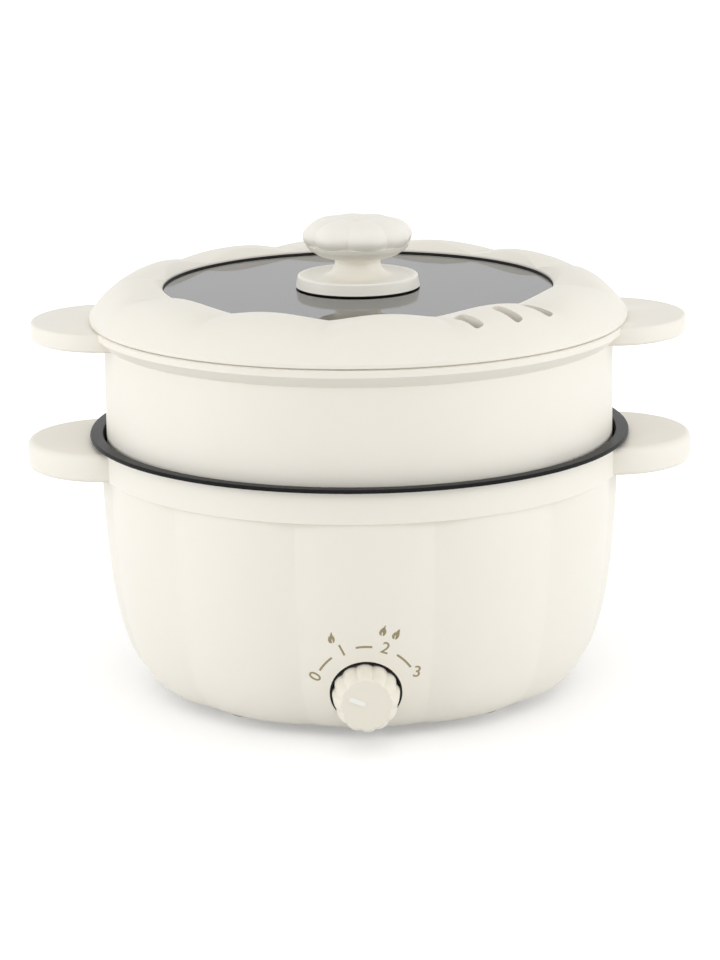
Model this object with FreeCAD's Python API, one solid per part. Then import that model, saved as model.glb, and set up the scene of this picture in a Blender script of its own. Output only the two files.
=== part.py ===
import FreeCAD, Part
import os
from math import acos, atan2, cos, hypot, pi, radians, sin, sqrt, tan
from FreeCAD import Vector

# Electric hot pot with a steamer ring and a lift-off lid.
# Millimetres. Z is up, the floor is z = 0, the pot's axis is the Z axis, and the dial faces -Y.
# Radii and heights run on from the pot's rim and the collar's seam, piece by piece.

# Fits and gaps
slip = 0.05
screw_play = 0.15
seat_gap = 0.3
collar_fit = 0.4
spigot_fit = 0.2
steamer_fit = 0.4
skirt_fit = 0.7
locating_gap = 0.5
overshoot = 1.0

# Rotary switch behind the dial
dial_z = 29.2
switch_width = 30.0
switch_height = 24.0
switch_depth = 19.0
switch_corner = 2.0
switch_headroom = 6.8
switch_screw_spacing = 22.0
switch_screw_radius = 1.5
switch_screw_head = 2.8
switch_screw_head_height = 1.6
switch_screw_bite = 8.0
switch_tab_pitch = 9.0
switch_tab_drop = 9.5
tab_width = 4.8
tab_thickness = 0.8
tab_length = 6.0

# Heights above the floor
foot_height = 5.4
collar_z = 118.0
collar_height = 17.0
ledge_drop = 11.5
steamer_rise = 60.3
lid_rise = 14.9
rim_z = collar_z + collar_height
ledge_z = rim_z - ledge_drop
flange_z = rim_z + steamer_rise
glass_z = flange_z + lid_rise
pot_floor_z = dial_z + switch_height / 2 + switch_headroom

# Inner pot: pressed aluminium, with a flat rim and a stepped ledge for the steamer
rim_radius = 140.0
rim_thickness = 1.8
rim_edge = 0.8
rim_land = 6.5
rim_flare = 1.6
recess_flare = 4.0
ledge_width = 8.4
ledge_edge = 1.0
pot_taper = 3.5
pot_corner = 25.0
pot_wall = 1.5
pot_floor = 2.4
rim_inner_radius = rim_radius - rim_land
recess_radius = rim_inner_radius - rim_flare
pot_radius = recess_radius - ledge_width
pot_floor_radius = pot_radius - pot_taper

# Collar with its two moulded handles
collar_wall = 2.2
collar_edge = 1.0
collar_top_edge = 0.6
collar_bore = recess_radius + pot_wall + collar_fit
collar_radius = collar_bore + collar_wall
handle_inset = 10.0
handle_centre_x = rim_radius - handle_inset
handle_reach = 42.8
handle_half_width = 44.8
handle_lift = 0.5
handle_drop = 2.0
handle_top_round = 3.6
handle_bottom_round = 2.4
handle_wall = 4.0
handle_core_depth = 9.0
rib_pitch = 9.0
rib_wall = 1.6

# Outer shell: a fluted bowl of uniform flute depth, narrowest at its foot.
# The profile gives each height and how far the flutes' crests stand in from the collar there.
flute_count = 12
flute_depth = 2.2
flute_root_radius = 8.0
shell_wall = 2.4
shell_profile = [
    (foot_height, 32.0),
    (8.0, 26.2),
    (13.0, 20.4),
    (21.0, 15.1),
    (33.0, 10.6),
    (50.0, 6.8),
    (72.0, 4.0),
    (96.0, 2.3),
    (collar_z, 1.6),
]
shell_crests = [(z, collar_radius - inset) for z, inset in shell_profile]
shell_foot_radius = shell_crests[0][1]
shell_floor_curl = 3.2
shell_floor_lip = 14.0
rebate_width = 9.0
base_opening_radius = shell_foot_radius - shell_floor_lip
rebate_radius = shell_foot_radius - rebate_width
spigot_height = 3.4
spigot_wall = 2.4
spigot_radius = collar_bore - spigot_fit
spigot_root = 8.0
spigot_root_step = 1.6
spigot_root_wall = 3.0

# Screw bosses in the shell, feet and their screws
foot_count = 4
foot_angle = 45.0
foot_inset = 4.0
foot_circle = base_opening_radius - foot_inset
foot_top_radius = 8.5
foot_bottom_radius = 7.5
foot_edge = 0.8
foot_web = 2.4
foot_screw_radius = 2.0
foot_head_radius = 3.5
foot_head_room = 0.5
foot_head_height = 2.2
foot_head_depth = 0.8
boss_radius = 5.0
boss_height = 14.0
boss_rib = 2.6
boss_floor = 2.0
cross_width = 0.8

# Bottom cover
cover_thickness = 2.4
cover_edge_gap = 0.3
cover_ring_inset = 56.0
cover_ring_radius = base_opening_radius - cover_ring_inset
cover_ring_wall = 2.4
cover_ring_height = 4.0
vent_count = 18
vent_inset = 38.0
vent_circle = base_opening_radius - vent_inset
vent_length = 16.0
vent_width = 3.2

# Heating parts under the pot
plate_edge_inset = 7.0
plate_radius = pot_floor_radius - pot_corner - plate_edge_inset
plate_thickness = 6.0
plate_edge = 2.0
element_inset = 30.0
element_radius = plate_radius - element_inset
element_tube = 6.6
element_gap_angle = 50.0
element_bend = 10.0
element_leg = 10.6
shield_inset = 7.0
shield_radius = plate_radius - shield_inset
shield_drop = 15.6
shield_thickness = 1.0
shield_rim_height = 4.0
shield_bend = 2.0
shield_window_gap = 4.0
shield_passage_width = 48.0
shield_passage_length = 20.0
tie_count = 3
tie_inset = 18.0
tie_circle = plate_radius - tie_inset
tie_angle = 30.0
tie_radius = 2.0
tie_head_radius = 4.0
tie_head_height = 2.6
tie_cross_depth = 1.2
tie_post_radius = 5.0
tie_bite = 6.0
tie_end_gap = 1.0
thermostat_radius = 8.0
thermostat_can = 3.5
thermostat_flange = 1.2
thermostat_flange_lip = 2.5
thermostat_height = 9.0
thermostat_tab_inset = 2.5
fuse_radius = 2.0
fuse_length = 14.0
fuse_wire_radius = 0.5
fuse_wire = 8.0
fuse_y = 32.0
clip_width = 6.0
clip_thickness = 1.0
clip_strap = 13.0
clip_rivet_radius = 1.8
clip_rivet_head = 1.2
clip_rivet_inset = 4.0

# Dial and its black cup
cup_radius = 17.9
cup_wall = 0.9
cup_floor = 1.2
cup_gap = 0.1
pocket_wall = 2.2
pocket_inset = 24.0
pocket_y = pocket_inset - collar_radius
knob_lobes = 12
knob_radius = 16.5
knob_lobe_depth = 1.0
knob_turn = 3.0
knob_face_radius = 12.6
knob_proud = 6.3
knob_face_y = -collar_radius - knob_proud
knob_back_gap = 5.2
knob_back_y = pocket_y - knob_back_gap
knob_skin = 1.8
knob_face_skin = 4.0
# Share of the knob's length, how far it has drawn in from its radius, and share of the lobe depth
knob_profile = [(0.0, 0.0, 1.0), (0.5, 0.1, 1.0), (0.76, 0.8, 0.95), (0.92, 2.2, 0.85)]
knob_face_lobes = 0.6
hub_radius = 5.2
hub_recess = 1.6
hub_rib = 1.6
hub_rib_recess = 6.0
hub_rib_count = 4
pointer_length = 8.4
pointer_width = 2.2
pointer_height = 0.6
pointer_start = 0.8
off_angle = 69.0
shaft_radius = 3.0
shaft_flat = 0.6
shaft_cover = 4.3
shaft_end_gap = 0.3
shaft_end_y = knob_face_y + shaft_cover
shaft_tail = 11.0
bush_radius = 4.6
bush_length = 3.4
bush_end_y = pocket_y - bush_length

# Power inlet at the back
inlet_z = 30.0
inlet_inset = 7.0
inlet_face_y = collar_radius - inlet_inset
inlet_pad_margin = 3.0
inlet_pad_depth = 14.0
inlet_pad_corner = 5.0
inlet_pad_edge = 1.0
inlet_fit = 0.2
inlet_flange_width = 40.0
inlet_flange_height = 26.0
inlet_flange_thickness = 2.5
inlet_flange_corner = 4.0
inlet_body_width = 28.0
inlet_body_height = 21.0
inlet_depth = 24.0
socket_width = 24.4
socket_height = 16.4
socket_depth = 17.0
socket_bevel = 5.0
inlet_pin_pitch = 7.0
inlet_pin_rise = 2.0
inlet_pin_length = 15.0
inlet_pin_width = 2.0
inlet_pin_height = 4.0
inlet_screw_pitch = 34.0
inlet_screw_radius = 1.5
inlet_screw_head = 2.6
inlet_screw_head_height = 1.2
inlet_screw_length = 9.0
inlet_screw_slot = 0.7
screw_tip_gap = 3.0

# Leads between the inlet, the switch, the element, the cut-out and the fuse
lead_radius = 1.2
lead_bend = 3.5
lead_low_z = 13.6
lead_lane_z = 17.0
lead_hole_gap = 1.2
lead_drop_y = 88.0
live_lane_x = 26.0
fuse_lead_out = 5.0
earth_inset = 3.5

# Steamer: one moulding with a perforated floor and two handles
steamer_radius = recess_radius - steamer_fit
steamer_wall = 2.2
steamer_floor = 2.5
steamer_corner = 6.0
flange_reach = 7.1
flange_radius = steamer_radius + flange_reach
flange_lip = 4.3
flange_cone = 5.6
flange_step = 1.0
flange_toe = 1.4
flange_edge = 0.8
steam_handle_reach = 39.5
steam_handle_half_width = 43.0
steam_handle_thickness = 9.4
steam_handle_top_round = 1.4
steam_handle_bottom_round = 1.8
steam_handle_wall = 3.0
steam_handle_skin = 3.4
steam_handle_core_gap = 3.0
steam_hole_radius = 2.4
steam_hole_rings = [(30.0, 8), (62.0, 16), (94.0, 24)]

# Lid ring: twelve petals round a window
lid_overhang = 0.2
lid_radius = flange_radius + lid_overhang
lid_edge_gap = 0.7
lid_edge_inset = 2.2
lid_edge_height = 2.7
lid_edge_round = 0.4
lid_trim_height = 3.0
lid_trim_round = 1.8
lid_trim_inset = 10.8
lid_trim_rise = 2.8
lid_lobes = 12
lid_turn = 6.1
lid_crest_rise = 6.2
lid_crest_inset = 29.8
lid_crest_z = glass_z + lid_crest_rise
lid_crest_radius = lid_radius - lid_crest_inset
lid_drop = lid_crest_z - flange_z - lid_edge_height
lid_drop_power = 1.45
lid_inner_curl = 0.03
lid_valley_depth = 4.0
lid_valley_fade_inset = 26.8
lid_valley_fade_length = 22.0
lid_valley_inner_ease = 0.22
petal_stations = (-12.0, -8.0, -4.0, 0.0, 5.0, 11.0, 18.0, 25.0, 32.0)
window_inset = 38.0
window_radius = lid_radius - window_inset
window_lip = 0.8
window_flare = 1.0
lid_wall = 2.6
lid_undercut_inset = 3.4
lid_undercut_wall = 2.0
lid_undercut_rise = 4.6
skirt_radius = steamer_radius - steamer_wall - skirt_fit
skirt_wall = 2.4
skirt_depth = 7.3
cavity_edge = 1.0
cavity_knee = 3.0
cavity_knee_in = 20.8
cavity_knee_drop = 18.8
slot_width = 6.4
slot_length = 15.6
slot_corner = 2.0
slot_inset = 19.4
slot_circle = lid_radius - slot_inset
slot_angles = (25.8, 36.6, 46.6)
slot_skew = 20.0
slot_depth = 10.0

# Glass, gasket and retainer
glass_lap = 3.1
glass_radius = window_radius + glass_lap
glass_thickness = 4.0
glass_bevel = 0.5
glass_hole = 5.2
gasket_thickness = 0.8
gasket_lip = 0.4
gasket_inner = window_radius - gasket_lip
rib_round_glass = 2.5
retainer_lip = 3.3
retainer_width = 15.0
retainer_inner = window_radius - retainer_lip
retainer_outer = retainer_inner + retainer_width
retainer_thickness = 2.6
retainer_screw_count = 6
retainer_screw_inset = 3.3
retainer_screw_circle = retainer_outer - retainer_screw_inset
retainer_screw_radius = 1.5
retainer_screw_head = 3.0
retainer_screw_head_height = 1.8
retainer_screw_length = 6.0
retainer_boss_radius = 3.6
retainer_hole_depth = 4.5

# Lid knob, set out from the glass
seal_radius = 30.6
seal_thickness = 0.8
knob_disc_radius = 32.0
knob_disc_height = 6.0
knob_disc_draft = 1.0
knob_disc_round = 1.2
knob_disc_land = 2.4
knob_disc_dish = 0.8
knob_disc_dish_width = 1.6
knob_neck_radius = 11.6
knob_neck_foot_round = 8.0
knob_neck_top_round = 3.0
knob_neck_top = 15.0
knob_seam = 22.8
knob_seam_z = glass_z + knob_seam
knob_bowl_radius = 26.6
knob_brim_depth = 2.2
knob_brim_draw = 0.9
knob_brim_round = 3.0
knob_bowl_round = 7.0
knob_bowl_depth = 5.6
knob_bowl_draw = 6.0
cap_lobes = 8
cap_turn = 11.5
cap_height = 13.1
cap_top_z = knob_seam_z + cap_height
cap_centre_rise = 4.3
cap_centre_z = knob_seam_z + cap_centre_rise
cap_lobe_offset = 13.5
cap_lobe_reach = 15.0
cap_lobe_half_width = 15.5
cap_core_radius = 9.0
cap_dimple = 2.9
cap_peg_radius = 10.0
cap_peg_depth = 4.0
insert_radius = 4.0
insert_length = 12.0
insert_rise = 3.0
knob_screw_radius = 2.4
knob_screw_play = 0.1
knob_screw_head = 5.0
knob_screw_head_height = 3.0
knob_screw_edge = 1.0
knob_screw_slot_length = 6.0
knob_screw_slot_width = 1.2
knob_screw_slot_depth = 1.4
washer_radius = 9.0
washer_thickness = 1.5

UP = Vector(0, 0, 1)
ORIGIN = Vector(0, 0, 0)
same_point = 1e-6
at_face = 0.01


def polar(radius, angle, z=0.0):
    """A point at this radius, with the angle in degrees from -Y towards +X."""
    turn = radians(angle)
    return Vector(radius * sin(turn), -radius * cos(turn), z)


def cylinder(radius, low, high, centre=None):
    """An upright cylinder between two heights."""
    at = centre or ORIGIN
    return Part.makeCylinder(radius, high - low, Vector(at.x, at.y, low))


def tube(outer, inner, low, high, centre=None):
    """An upright tube between two heights."""
    bore = cylinder(inner, low - overshoot, high + overshoot, centre)
    return cylinder(outer, low, high, centre).cut(bore)


def box(x0, x1, y0, y1, z0, z1):
    return Part.makeBox(x1 - x0, y1 - y0, z1 - z0, Vector(x0, y0, z0))


def along_y(radius, y0, y1, x=0.0, z=0.0):
    """A cylinder that lies along Y."""
    low = min(y0, y1)
    return Part.makeCylinder(radius, abs(y1 - y0), Vector(x, low, z), Vector(0, 1, 0))


def turned(shape, angle):
    """A copy turned about the pot's axis, in the sense that polar counts."""
    copy = shape.copy()
    copy.rotate(ORIGIN, UP, angle)
    return copy


def fused(shapes):
    """One clean solid from touching or overlapping shapes."""
    return shapes[0].multiFuse(shapes[1:]).removeSplitter()


def drilled(shape, holes):
    return shape.cut(Part.makeCompound(holes))


def rounded_face(corners):
    """A face in the XZ plane from corners (radius, height, fillet)."""
    edges = []
    points = [Vector(x, 0, z) for x, z, _ in corners]
    starts = []
    ends = []
    for i, (_, _, fillet) in enumerate(corners):
        here = points[i]
        if fillet <= 0:
            starts.append(here)
            ends.append(here)
            continue
        back = (points[i - 1] - here).normalize()
        ahead = (points[(i + 1) % len(points)] - here).normalize()
        half = acos(max(-1.0, min(1.0, back.dot(ahead)))) / 2
        reach = fillet / tan(half)
        start = here + back * reach
        end = here + ahead * reach
        middle = here + (back + ahead).normalize() * (fillet / sin(half) - fillet)
        edges.append((i, Part.Arc(start, middle, end).toShape()))
        starts.append(start)
        ends.append(end)
    path = []
    arcs = dict(edges)
    for i in range(len(points)):
        if i in arcs:
            path.append(arcs[i])
        following = starts[(i + 1) % len(points)]
        if (following - ends[i]).Length > same_point:
            path.append(Part.LineSegment(ends[i], following).toShape())
    return Part.Face(Part.Wire(path))


def revolved(corners):
    """A full turn of a rounded profile about the pot's axis."""
    return rounded_face(corners).revolve(ORIGIN, UP, 360)


def lobed_wire(count, crest, depth, root, z, turn=0.0):
    """A ring of convex arcs with the valleys rounded by small arcs, or sharp where root is 0."""
    step = pi / count
    valley = crest - depth + root
    reach = valley * cos(step)
    lobe = (crest**2 + valley**2 - 2 * crest * reach - root**2) / (2 * (crest - reach + root))
    centre = crest - lobe
    along = lobe / (lobe + root)
    join_x = centre + (valley * cos(step) - centre) * along
    join_y = valley * sin(step) * along
    join_radius = hypot(join_x, join_y)
    join_angle = atan2(join_y, join_x)

    def at(radius, angle):
        return Vector(radius * sin(angle), -radius * cos(angle), z)

    edges = []
    for k in range(count):
        middle = radians(turn) + 2 * step * k
        first = at(join_radius, middle - join_angle)
        last = at(join_radius, middle + join_angle)
        edges.append(Part.Arc(first, at(crest, middle), last).toShape())
        if root > 0:
            following = at(join_radius, middle + 2 * step - join_angle)
            edges.append(Part.Arc(last, at(crest - depth, middle + step), following).toShape())
    return Part.Wire(edges)


def ellipse_prism(reach, half_width, low, high):
    """An upright prism with an elliptical outline, at the handles' centre on the +X side."""
    centre = Vector(handle_centre_x, 0, low)
    across = Vector(handle_centre_x, half_width, low)
    along = Vector(handle_centre_x + reach, 0, low)
    if half_width >= reach:
        curve = Part.Ellipse(across, along, centre)
    else:
        curve = Part.Ellipse(along, across, centre)
    return Part.Face(Part.Wire(curve.toShape())).extrude(Vector(0, 0, high - low))


def edges_at(shape, height):
    """The edges that lie flat at this height."""
    return [
        e for e in shape.Edges
        if abs(e.BoundBox.ZMin - height) < at_face and abs(e.BoundBox.ZMax - height) < at_face
    ]


def edges_along_y(shape, length=2.0):
    """The straight edges that run along Y for more than this length."""
    return [
        e for e in shape.Edges
        if e.BoundBox.YLength > length and e.BoundBox.XLength < at_face and e.BoundBox.ZLength < at_face
    ]


def handle_blank(reach, half_width, low, high, top_round, bottom_round, wall, core_depth, core_x):
    """One handle on the +X side, rounded on its edges, cored from below between cross ribs."""
    blank = ellipse_prism(reach, half_width, low, high)
    blank = blank.makeFillet(top_round, edges_at(blank, high))
    blank = blank.makeFillet(bottom_round, edges_at(blank, low))
    core = ellipse_prism(reach - wall, half_width - wall, low - overshoot, low + core_depth)
    core = core.common(box(core_x, core_x + reach, -half_width, half_width, low - overshoot, high))
    ribs = []
    each_way = int(half_width // rib_pitch)
    for k in range(-each_way, each_way + 1):
        y = k * rib_pitch
        ribs.append(box(core_x, core_x + reach, y - rib_wall / 2, y + rib_wall / 2, low, high))
    return blank.cut(core.cut(Part.makeCompound(ribs)))


def cross_recess(place, half_length, low, high):
    """A cross in a screw's head, seen from below."""
    half = cross_width / 2
    x, y = place.x, place.y
    return [
        box(x - half_length, x + half_length, y - half, y + half, low, high),
        box(x - half, x + half, y - half_length, y + half_length, low, high),
    ]


# Outer shell
def shell_form():
    """The fluted outside of the shell as a solid."""
    wires = [
        lobed_wire(flute_count, crest, flute_depth, flute_root_radius, z)
        for z, crest in shell_crests
    ]
    return Part.makeLoft(wires, True, False)


def shell_inside():
    """The space inside the shell, above its floor flange."""
    inset = flute_depth + shell_wall
    floor = foot_height + cover_thickness + shell_wall
    above = collar_z + overshoot
    wall = [(crest - inset, z, 0) for z, crest in shell_crests if z > floor + overshoot]
    return revolved(
        [(0, floor, 0), (wall[0][0] - shell_floor_curl, floor, 0)] + wall
        + [(wall[-1][0], above, 0), (0, above, 0)]
    )


def foot_angles():
    return [foot_angle + 360 / foot_count * k for k in range(foot_count)]


def foot_places():
    return [polar(foot_circle, angle) for angle in foot_angles()]


def shell_bosses():
    """Four screw bosses, each on a rib that runs out to the wall."""
    low = foot_height + cover_thickness
    high = low + boss_height
    shapes = []
    for angle in foot_angles():
        boss = cylinder(boss_radius, low, high, polar(foot_circle, angle))
        rib = box(
            -boss_rib / 2, boss_rib / 2,
            -collar_radius, -foot_circle,
            low + boss_rib / 2, high - boss_rib / 2,
        )
        shapes.append(boss.fuse(turned(rib, angle)))
    return shapes


def make_outer_shell(form):
    shell = form.cut(shell_inside())
    low = foot_height
    inner_low = low + cover_thickness
    pocket_back = pocket_y + pocket_wall
    spigot = tube(spigot_radius, spigot_radius - spigot_wall, collar_z, collar_z + spigot_height)
    root_radius = spigot_radius - spigot_root_step
    root = tube(root_radius, root_radius - spigot_root_wall, collar_z - spigot_root, collar_z + slip)
    pocket = along_y(cup_radius + cup_gap + pocket_wall, pocket_back, -rim_radius, z=dial_z)
    inlet_block = rear_block().cut(rear_block_core())
    bosses = [boss.common(form) for boss in shell_bosses()]
    shell = fused([shell, root, spigot, pocket.common(form), inlet_block] + bosses)
    opening = cylinder(base_opening_radius, low - overshoot, inner_low + shell_wall + at_face)
    cuts = [
        opening.cut(Part.makeCompound(shell_bosses())),
        cylinder(rebate_radius, low - overshoot, inner_low),
        along_y(cup_radius + cup_gap, pocket_y, -rim_radius, z=dial_z),
        along_y(bush_radius + slip * 2, pocket_y - overshoot, pocket_back + overshoot, z=dial_z),
        inlet_cutout(),
    ]
    for side in (-1, 1):
        x = side * switch_screw_spacing / 2
        radius = switch_screw_radius + slip
        cuts.append(along_y(radius, pocket_y - overshoot, pocket_back + overshoot, x, dial_z))
        x = side * inlet_screw_pitch / 2
        radius = inlet_screw_radius + slip
        cuts.append(along_y(radius, inlet_face_y - inlet_pad_depth, inlet_face_y + overshoot, x, inlet_z))
    for place in foot_places():
        cuts.append(cylinder(foot_screw_radius + slip, low, inner_low + boss_height - boss_floor, place))
    return drilled(shell, cuts)


def rear_block():
    """The flat-faced pad on the back of the shell that carries the power inlet."""
    half_width = inlet_flange_width / 2 + inlet_pad_margin
    half_height = inlet_flange_height / 2 + inlet_pad_margin
    block = box(
        -half_width, half_width,
        inlet_face_y - inlet_pad_depth, inlet_face_y,
        inlet_z - half_height, inlet_z + half_height,
    )
    block = block.makeFillet(inlet_pad_corner, edges_along_y(block))
    front = [e for e in block.Edges if e.BoundBox.YMin > inlet_face_y - at_face]
    return block.makeFillet(inlet_pad_edge, front)


def rear_block_core():
    """What is hollow behind the pad's face."""
    half_width = inlet_flange_width / 2 + inlet_pad_margin - shell_wall
    half_height = inlet_flange_height / 2 + inlet_pad_margin - shell_wall
    return box(
        -half_width, half_width,
        inlet_face_y - inlet_pad_depth - overshoot, inlet_face_y - inlet_flange_thickness - shell_wall,
        inlet_z - half_height, inlet_z + half_height,
    )


def inlet_cutout():
    """The flange's recess in the pad and the opening for the inlet's body."""
    half_width = inlet_body_width / 2 + inlet_fit
    half_height = inlet_body_height / 2 + inlet_fit
    body = box(
        -half_width, half_width,
        inlet_face_y - inlet_pad_depth - overshoot, inlet_face_y + overshoot,
        inlet_z - half_height, inlet_z + half_height,
    )
    return inlet_flange(inlet_fit, overshoot).fuse(body)


# Collar
def make_handle_collar():
    ring = revolved([
        (collar_bore, collar_z, 0),
        (collar_radius, collar_z, collar_edge),
        (collar_radius, rim_z, 0),
        (collar_radius - collar_top_edge, rim_z, 0),
        (collar_bore, rim_z - recess_flare - collar_edge, 0),
    ])
    blank = handle_blank(
        handle_reach, handle_half_width, collar_z + handle_lift, rim_z - handle_drop,
        handle_top_round, handle_bottom_round, handle_wall, handle_core_depth, collar_radius + handle_wall,
    )
    blank = blank.cut(cylinder(collar_bore + collar_edge, collar_z, rim_z))
    return fused([ring, blank, turned(blank, 180)])


# Inner pot
def make_inner_pot():
    low = pot_floor_z - pot_floor
    return revolved([
        (0, pot_floor_z, 0),
        (pot_floor_radius, pot_floor_z, pot_corner),
        (pot_radius, ledge_z, ledge_edge),
        (recess_radius, ledge_z, 0),
        (recess_radius, rim_z - recess_flare, 0),
        (rim_inner_radius, rim_z + rim_thickness, rim_edge),
        (rim_radius, rim_z + rim_thickness, rim_edge),
        (rim_radius, rim_z, 0),
        (rim_inner_radius + pot_wall, rim_z, 0),
        (recess_radius + pot_wall, rim_z - recess_flare, 0),
        (recess_radius + pot_wall, ledge_z - pot_wall, 0),
        (pot_radius + pot_wall, ledge_z - pot_wall, 0),
        (pot_floor_radius + pot_wall, low, pot_corner + pot_wall),
        (0, low, 0),
    ])


# Heating parts
def tie_places():
    return [polar(tie_circle, tie_angle + 360 / tie_count * k) for k in range(tie_count)]


def plate_bottom():
    return pot_floor_z - pot_floor - plate_thickness


def shield_low():
    return plate_bottom() - shield_drop


def element_legs():
    """For each leg: its foot, the bend's start, middle and end."""
    z = plate_bottom()
    half_gap = radians(element_gap_angle / 2)
    legs = []
    for side in (-1, 1):
        turn = pi - side * half_gap
        end = Vector(element_radius * sin(turn), -element_radius * cos(turn), z)
        tangent = Vector(cos(turn), sin(turn), 0) * side
        corner = end + tangent * element_bend
        foot = Vector(corner.x, corner.y, z - element_leg)
        below = Vector(corner.x, corner.y, z - element_bend)
        half = element_bend * (1 - sqrt(0.5))
        middle = corner - tangent * half - Vector(0, 0, half)
        legs.append((foot, below, middle, end))
    return legs


def element_path():
    """The element's centre line: two legs, two bends and a ring open at the back."""
    first, last = element_legs()
    front = Vector(0, -element_radius, plate_bottom())
    return Part.Wire([
        Part.LineSegment(first[0], first[1]).toShape(),
        Part.Arc(first[1], first[2], first[3]).toShape(),
        Part.Arc(first[3], front, last[3]).toShape(),
        Part.Arc(last[3], last[2], last[1]).toShape(),
        Part.LineSegment(last[1], last[0]).toShape(),
    ])


def swept(path, radius):
    start = path.OrderedVertexes[0].Point
    direction = path.OrderedVertexes[1].Point - start
    profile = Part.Wire(Part.makeCircle(radius, start, direction))
    return path.makePipeShell([profile], True, False)


def make_heating_element():
    return swept(element_path(), element_tube / 2)


def make_heating_plate():
    """A cast plate with the element half sunk in its underside and three threaded posts."""
    low = plate_bottom()
    plate = cylinder(plate_radius, low, pot_floor_z - pot_floor)
    plate = plate.makeFillet(plate_edge, edges_at(plate, low))
    post_low = shield_low() + shield_thickness
    posts = [cylinder(tie_post_radius, post_low, low + overshoot, p) for p in tie_places()]
    plate = fused([plate] + posts)
    groove = swept(element_path(), element_tube / 2 + slip)
    holes = [cylinder(tie_radius + slip, shield_low(), low + tie_bite, p) for p in tie_places()]
    return drilled(plate, [groove] + holes)


def make_heat_shield():
    low = shield_low()
    bend_radius = shield_radius - shield_rim_height
    shield = revolved([
        (0, low, 0),
        (bend_radius, low, shield_bend),
        (shield_radius, low + shield_rim_height, 0),
        (shield_radius - shield_thickness * sqrt(2), low + shield_rim_height, 0),
        (bend_radius - shield_thickness * (sqrt(2) - 1), low + shield_thickness, shield_bend / 2),
        (0, low + shield_thickness, 0),
    ])
    under = low - overshoot
    over = low + shield_thickness + overshoot
    holes = [cylinder(tie_radius + screw_play, under, over, p) for p in tie_places()]
    holes.append(cylinder(thermostat_radius + shield_window_gap, under, over))
    legs_y = element_legs()[0][0].y
    half_width = shield_passage_width / 2
    half_length = shield_passage_length / 2
    holes.append(box(-half_width, half_width, legs_y - half_length, legs_y + half_length, under, over))
    for side in (-1, 1):
        place = Vector(side * fuse_lead_x(), -fuse_y, 0)
        holes.append(cylinder(lead_radius + lead_hole_gap, under, over, place))
    return drilled(shield, holes)


def make_tie_bolts():
    """Three long screws that clamp cover, shield and plate together."""
    bolts = []
    low = foot_height - tie_head_height
    top = plate_bottom() + tie_bite - tie_end_gap
    for place in tie_places():
        head = cylinder(tie_head_radius, low, foot_height, place)
        shank = cylinder(tie_radius, foot_height - slip, top, place)
        cross = cross_recess(place, tie_head_radius * 0.6, low - overshoot, low + tie_cross_depth)
        bolts.append(drilled(head.fuse(shank), cross))
    return Part.makeCompound(bolts)


def thermostat_tab_places():
    """The lower ends of the cut-out's two terminals."""
    z = plate_bottom() - thermostat_height - tab_length
    x = thermostat_radius - thermostat_tab_inset
    return [Vector(-x, 0, z), Vector(x, 0, z)]


def make_thermostat():
    """A snap disc cut-out against the middle of the plate, with two flat terminals."""
    top = plate_bottom()
    shoulder = top - thermostat_can
    low = top - thermostat_height
    can = cylinder(thermostat_radius, shoulder, top)
    flange = cylinder(thermostat_radius + thermostat_flange_lip, top - thermostat_flange, top)
    body = cylinder(thermostat_radius - overshoot, low, shoulder)
    tabs = []
    for end in thermostat_tab_places():
        half = tab_thickness / 2
        tabs.append(box(end.x - half, end.x + half, -tab_width / 2, tab_width / 2, end.z, low + overshoot))
    return fused([can, flange, body] + tabs)


def fuse_z():
    return plate_bottom() - clip_thickness - fuse_radius


def fuse_end_x():
    return fuse_length / 2 + fuse_wire


def fuse_lead_x():
    return fuse_end_x() + fuse_lead_out


def along_x(radius, x0, x1, y, z):
    """A cylinder that lies along X."""
    return Part.makeCylinder(radius, x1 - x0, Vector(x0, y, z), Vector(1, 0, 0))


def make_thermal_fuse():
    body = along_x(fuse_radius, -fuse_length / 2, fuse_length / 2, -fuse_y, fuse_z())
    wires = along_x(fuse_wire_radius, -fuse_end_x(), fuse_end_x(), -fuse_y, fuse_z())
    return body.fuse(wires)


def make_fuse_clip():
    """A bent strap that holds the fuse to the plate, with its rivet."""
    top = plate_bottom()
    z = fuse_z()
    half = clip_width / 2
    under = top - clip_thickness
    hoop = along_x(fuse_radius + clip_thickness, -half, half, -fuse_y, z)
    bore = along_x(fuse_radius + slip, -half - overshoot, half + overshoot, -fuse_y, z)
    strap = box(-half, half, -fuse_y, clip_strap - fuse_y, under, top)
    rivet_y = clip_strap - clip_rivet_inset - fuse_y
    rivet = cylinder(clip_rivet_radius, under - clip_rivet_head, under + slip, Vector(0, rivet_y, 0))
    below_plate = box(
        -clip_width, clip_width, -fuse_y - clip_strap, clip_strap - fuse_y, z - clip_strap, top
    )
    return fused([hoop, strap, rivet]).cut(bore).common(below_plate)


# Bottom cover and feet
def slot_prism(length, width, low, high):
    """A rounded slot along X about the Z axis."""
    half = (length - width) / 2
    ends = [cylinder(width / 2, low, high, Vector(side * half, 0, 0)) for side in (-1, 1)]
    return fused(ends + [box(-half, half, -width / 2, width / 2, low, high)])


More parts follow.
